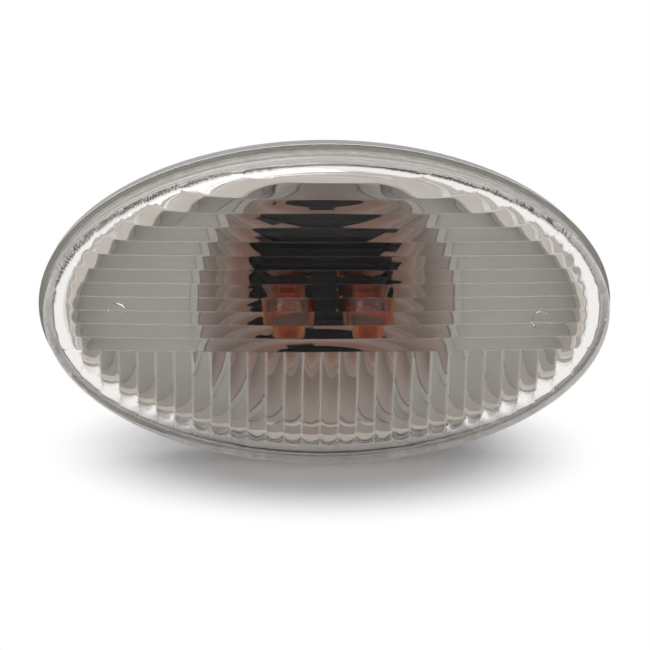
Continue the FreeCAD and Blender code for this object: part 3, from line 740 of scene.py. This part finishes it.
# a close helix between the two wires
def buildCoil(side, sizes):
    node = "filament_" + side
    low, high = nodeBox(node)
    middle, half = bulbMiddle(side), (high.x - low.x) / 2
    level, away = (high.y + low.y) / 2, (high.y - low.y) / 2 - sizes["wire"]
    steps = sizes["turns"] * sizes["pointsPerTurn"]
    route = []
    for index in range(steps + 1):
        angle = 2 * math.pi * index / sizes["pointsPerTurn"]
        route.append((middle - half + 2 * half * index / steps, level + away * math.cos(angle),
                      away * math.sin(angle)))
    makeWire("coil_" + side, route, sizes["wire"], node, wireSets)


# lead wires: millimetres; their boxes come from the frame
leadSizes = {"wire": 0.2, "drawnShare": 0.98,  # drawn a little thin, so that no faces coincide
             "straight": 6.0, "bendIn": 0.5, "bendOut": 0.6, "bendEase": 0.05, "hold": 2.0, "back": 5.0}


# the wires: up through the bead and base, round its end and back along one face
def buildLeads(side, sizes, pinchThickness):
    for name, sign in (("lead_feed_", 1), ("lead_earth_", -1)):
        low, high = nodeBox(name + side)
        wire = sizes["wire"]
        x = (low.x + high.x) / 2
        face = sign * (pinchThickness / 2 + wire)
        ease = sign * sizes["bendEase"]
        base = high.y - 2 * wire
        route = [(x, low.y, 0.0), (x, low.y + sizes["straight"], 0.0),
                 (x, base - sizes["straight"], 0.0), (x, base - sizes["bendIn"], 0.0),
                 (x, base + wire, ease), (x, base + wire, face / 2), (x, base + wire, face - ease),
                 (x, base - sizes["bendOut"], face), (x, base - sizes["hold"], face),
                 (x, base - sizes["back"], face)]
        makeWire(name + "wire_" + side, route, wire * sizes["drawnShare"], name + side, wireSets)


# glass bead: its box comes from the frame
beadSizes = {"steps": 20, "turns": 24, "endPower": 3.2, "smoothAngle": 60.0}


# a fused bar across the bulb, with rounded ends
def buildBead(side, sizes):
    node = "bead_" + side
    low, high = nodeBox(node)
    middle, span = bulbMiddle(side), (high.x - low.x) / 2
    level, radius = (high.y + low.y) / 2, (high.z - low.z) / 2
    points, faces, rings = [(low.x, level, 0.0)], [], []
    for index in range(1, sizes["steps"]):
        share = -1 + 2 * index / sizes["steps"]
        away = radius * (1 - abs(share) ** sizes["endPower"]) ** 0.5
        rings.append(range(len(points), len(points) + sizes["turns"]))
        for turn in range(sizes["turns"]):
            angle = 2 * math.pi * turn / sizes["turns"]
            points.append((middle + span * share, level + away * math.cos(angle), away * math.sin(angle)))
    points.append((high.x, level, 0.0))
    fan(faces, rings[0][::-1], 0)
    for one, other in zip(rings, rings[1:]):
        bridge(faces, one, other)
    fan(faces, rings[-1], len(points) - 1)
    makePiece("bead_bar_" + side, points, faces, node, sizes["smoothAngle"])


for sideName in ("left", "right"):
    buildEnvelope(sideName, envelopeSizes)
    buildCoil(sideName, coilSizes)
    buildLeads(sideName, leadSizes, envelopeSizes["pinchThickness"])
    buildBead(sideName, beadSizes)
print("bulbs built")


# one for camera, glossy and transmission rays, nought for the rest
def seenShare(tree):
    path = addNode(tree, "ShaderNodeLightPath")
    seen = path.outputs["Is Camera Ray"]
    for ray in ("Is Glossy Ray", "Is Transmission Ray"):
        seen = addNode(tree, "ShaderNodeMath", {"operation": "MAXIMUM"},
                       {0: seen, 1: path.outputs[ray]}).outputs[0]
    return seen


# uncoated paper: matt with a faint fibre relief near the lamp, where it keeps the shadow, and plain white
# further out for what looks at it
def mattPaper():
    look = {"paper": "#f3f3f4", "fibre": 1.5, "relief": 0.05, "spread": (0.75, 1.0, 0.0),
            "fade": (20.0, 42.0)}
    material, tree = startMaterial("mattPaper")
    bump = addNode(tree, "ShaderNodeBump", {"Strength": 1.0, "Distance": look["relief"] * mm},
                   {"Height": grain(tree, look["fibre"], detail=3.0)})
    paper = addNode(tree, "ShaderNodeBsdfPrincipled",
                    {"Base Color": hexColour(look["paper"]), "Roughness": 0.9},
                    {"Normal": bump.outputs["Normal"]})
    white = addNode(tree, "ShaderNodeEmission", {"Strength": 1.0})
    place = addNode(tree, "ShaderNodeTexCoord")
    onFloor = addNode(tree, "ShaderNodeVectorMath", {"operation": "MULTIPLY", 1: look["spread"]},
                      {0: place.outputs["Object"]})
    away = addNode(tree, "ShaderNodeVectorMath", {"operation": "LENGTH"}, {0: onFloor.outputs["Vector"]})
    near, far = (value * mm for value in look["fade"])
    fade = addNode(tree, "ShaderNodeMapRange",
                   {"interpolation_type": "SMOOTHSTEP", "From Min": near, "From Max": far},
                   {"Value": away.outputs["Value"]})
    share = addNode(tree, "ShaderNodeMath", {"operation": "MULTIPLY"},
                    {0: seenShare(tree), 1: fade.outputs["Result"]})
    mixed = addNode(tree, "ShaderNodeMixShader", {},
                    {0: share.outputs[0], 1: paper.outputs["BSDF"], 2: white.outputs["Emission"]})
    addNode(tree, "ShaderNodeOutputMaterial", {}, {"Surface": mixed.outputs["Shader"]})
    return material


# stage: a pale sweep that turns up behind the lamp; millimetres
stageSizes = {"front": -2600.0, "back": 420.0, "half": 1300.0, "rise": 900.0, "bend": 160.0, "bendSteps": 12}


def buildStage(sizes):
    floor, back, bend = cadLow.z / mm, sizes["back"], sizes["bend"]
    profile = [(sizes["front"], floor), (back - bend, floor)]
    for index in range(1, sizes["bendSteps"] + 1):
        angle = math.pi / 2 * index / sizes["bendSteps"]
        profile.append((back - bend + bend * math.sin(angle), floor + bend * (1 - math.cos(angle))))
    profile.append((back, floor + sizes["rise"]))
    points = [(x, y, z) for y, z in profile for x in (-sizes["half"], sizes["half"])]
    faces = [(2 * i, 2 * i + 1, 2 * i + 3, 2 * i + 2) for i in range(len(profile) - 1)]
    mesh = bpy.data.meshes.new("paperSweep")
    mesh.from_pydata([Vector(point) * mm for point in points], [], faces)
    mesh.shade_smooth()
    mesh.materials.append(mattPaper())
    sweep = addObject("paper_sweep", mesh)


buildStage(stageSizes)

# lights: soft boxes in millimetres and watts, each aimed at the lamp
lightSets = {
    "keyBox": {"place": (-420.0, -420.0, 280.0), "size": (260.0, 260.0), "power": 0.42, "colour": "#fffefd"},
    "fillBox": {"place": (560.0, -560.0, 300.0), "size": (320.0, 320.0), "power": 0.3, "colour": "#fffefd"},
    "lowBox": {"place": (60.0, -720.0, 70.0), "size": (520.0, 120.0), "power": 0.55, "colour": "#fffefd"},
    "backBox": {"place": (-120.0, 300.0, 560.0), "size": (320.0, 320.0), "power": 0.8, "colour": "#ffffff"},
    "topBox": {"place": (-60.0, -60.0, 800.0), "size": (700.0, 360.0), "power": 0.5, "colour": "#ffffff"},
}
for lightName, settings in lightSets.items():
    lamp = bpy.data.lights.new(lightName, "AREA")
    lamp.shape = "RECTANGLE"
    lamp.size, lamp.size_y = (value * mm for value in settings["size"])
    lamp.energy = settings["power"]
    lamp.color = hexColour(settings["colour"])[:3]
    softBox = addObject(lightName, lamp)
    softBox.location = Vector(settings["place"]) * mm
    softBox.rotation_euler = (-softBox.location).to_track_quat("-Z", "Y").to_euler()

# surroundings: what looks straight at the room, or through the lens at it, sees white; its light is dimmer
worldSets = {"seen": "#ffffff", "seenStrength": 1.0, "light": "#f4f5f7", "lightStrength": 0.34}


def buildWorld(sets):
    world = bpy.data.worlds.new("room")
    world.use_nodes = True
    tree = world.node_tree
    tree.nodes.clear()
    seen = addNode(tree, "ShaderNodeBackground",
                   {"Color": hexColour(sets["seen"]), "Strength": sets["seenStrength"]})
    light = addNode(tree, "ShaderNodeBackground",
                    {"Color": hexColour(sets["light"]), "Strength": sets["lightStrength"]})
    mixed = addNode(tree, "ShaderNodeMixShader", {},
                    {0: seenShare(tree), 1: light.outputs["Background"], 2: seen.outputs["Background"]})
    addNode(tree, "ShaderNodeOutputWorld", {}, {"Surface": mixed.outputs["Shader"]})
    bpy.context.scene.world = world


buildWorld(worldSets)
bpy.context.scene.view_settings.view_transform = "Standard"
print("stage and lights set")

# camera: the photograph's angle in degrees and millimetres, worked out for a square frame
cameraSets = {"azimuth": -3.5, "elevation": 15.0, "roll": 0.8, "distance": 300.0, "centre": (0.0, -6.5, 0.0),
              "drop": 4.2, "left": 0.3, "fieldOfView": 23.22, "nearest": 10.0}


def placeCamera(sets):
    azimuth, elevation = math.radians(sets["azimuth"]), math.radians(sets["elevation"])
    toCamera = Vector((math.sin(azimuth) * math.cos(elevation), -math.cos(azimuth) * math.cos(elevation),
                       math.sin(elevation)))
    spot = Vector(sets["centre"]) + toCamera * sets["distance"]
    aim = Vector(sets["centre"]) - Vector((sets["left"], 0, sets["drop"]))
    turn = (aim - spot).to_track_quat("-Z", "Y").to_matrix().to_4x4()
    data = bpy.data.cameras.new("photoCamera")
    data.sensor_fit = "HORIZONTAL"
    data.angle = math.radians(sets["fieldOfView"])
    data.clip_start = sets["nearest"] * mm
    camera = addObject("photoCamera", data)
    camera.matrix_world = (Matrix.Translation(spot * mm) @ turn
                           @ Matrix.Rotation(math.radians(sets["roll"]), 4, "Z"))
    bpy.context.scene.camera = camera


placeCamera(cameraSets)
print("camera placed")
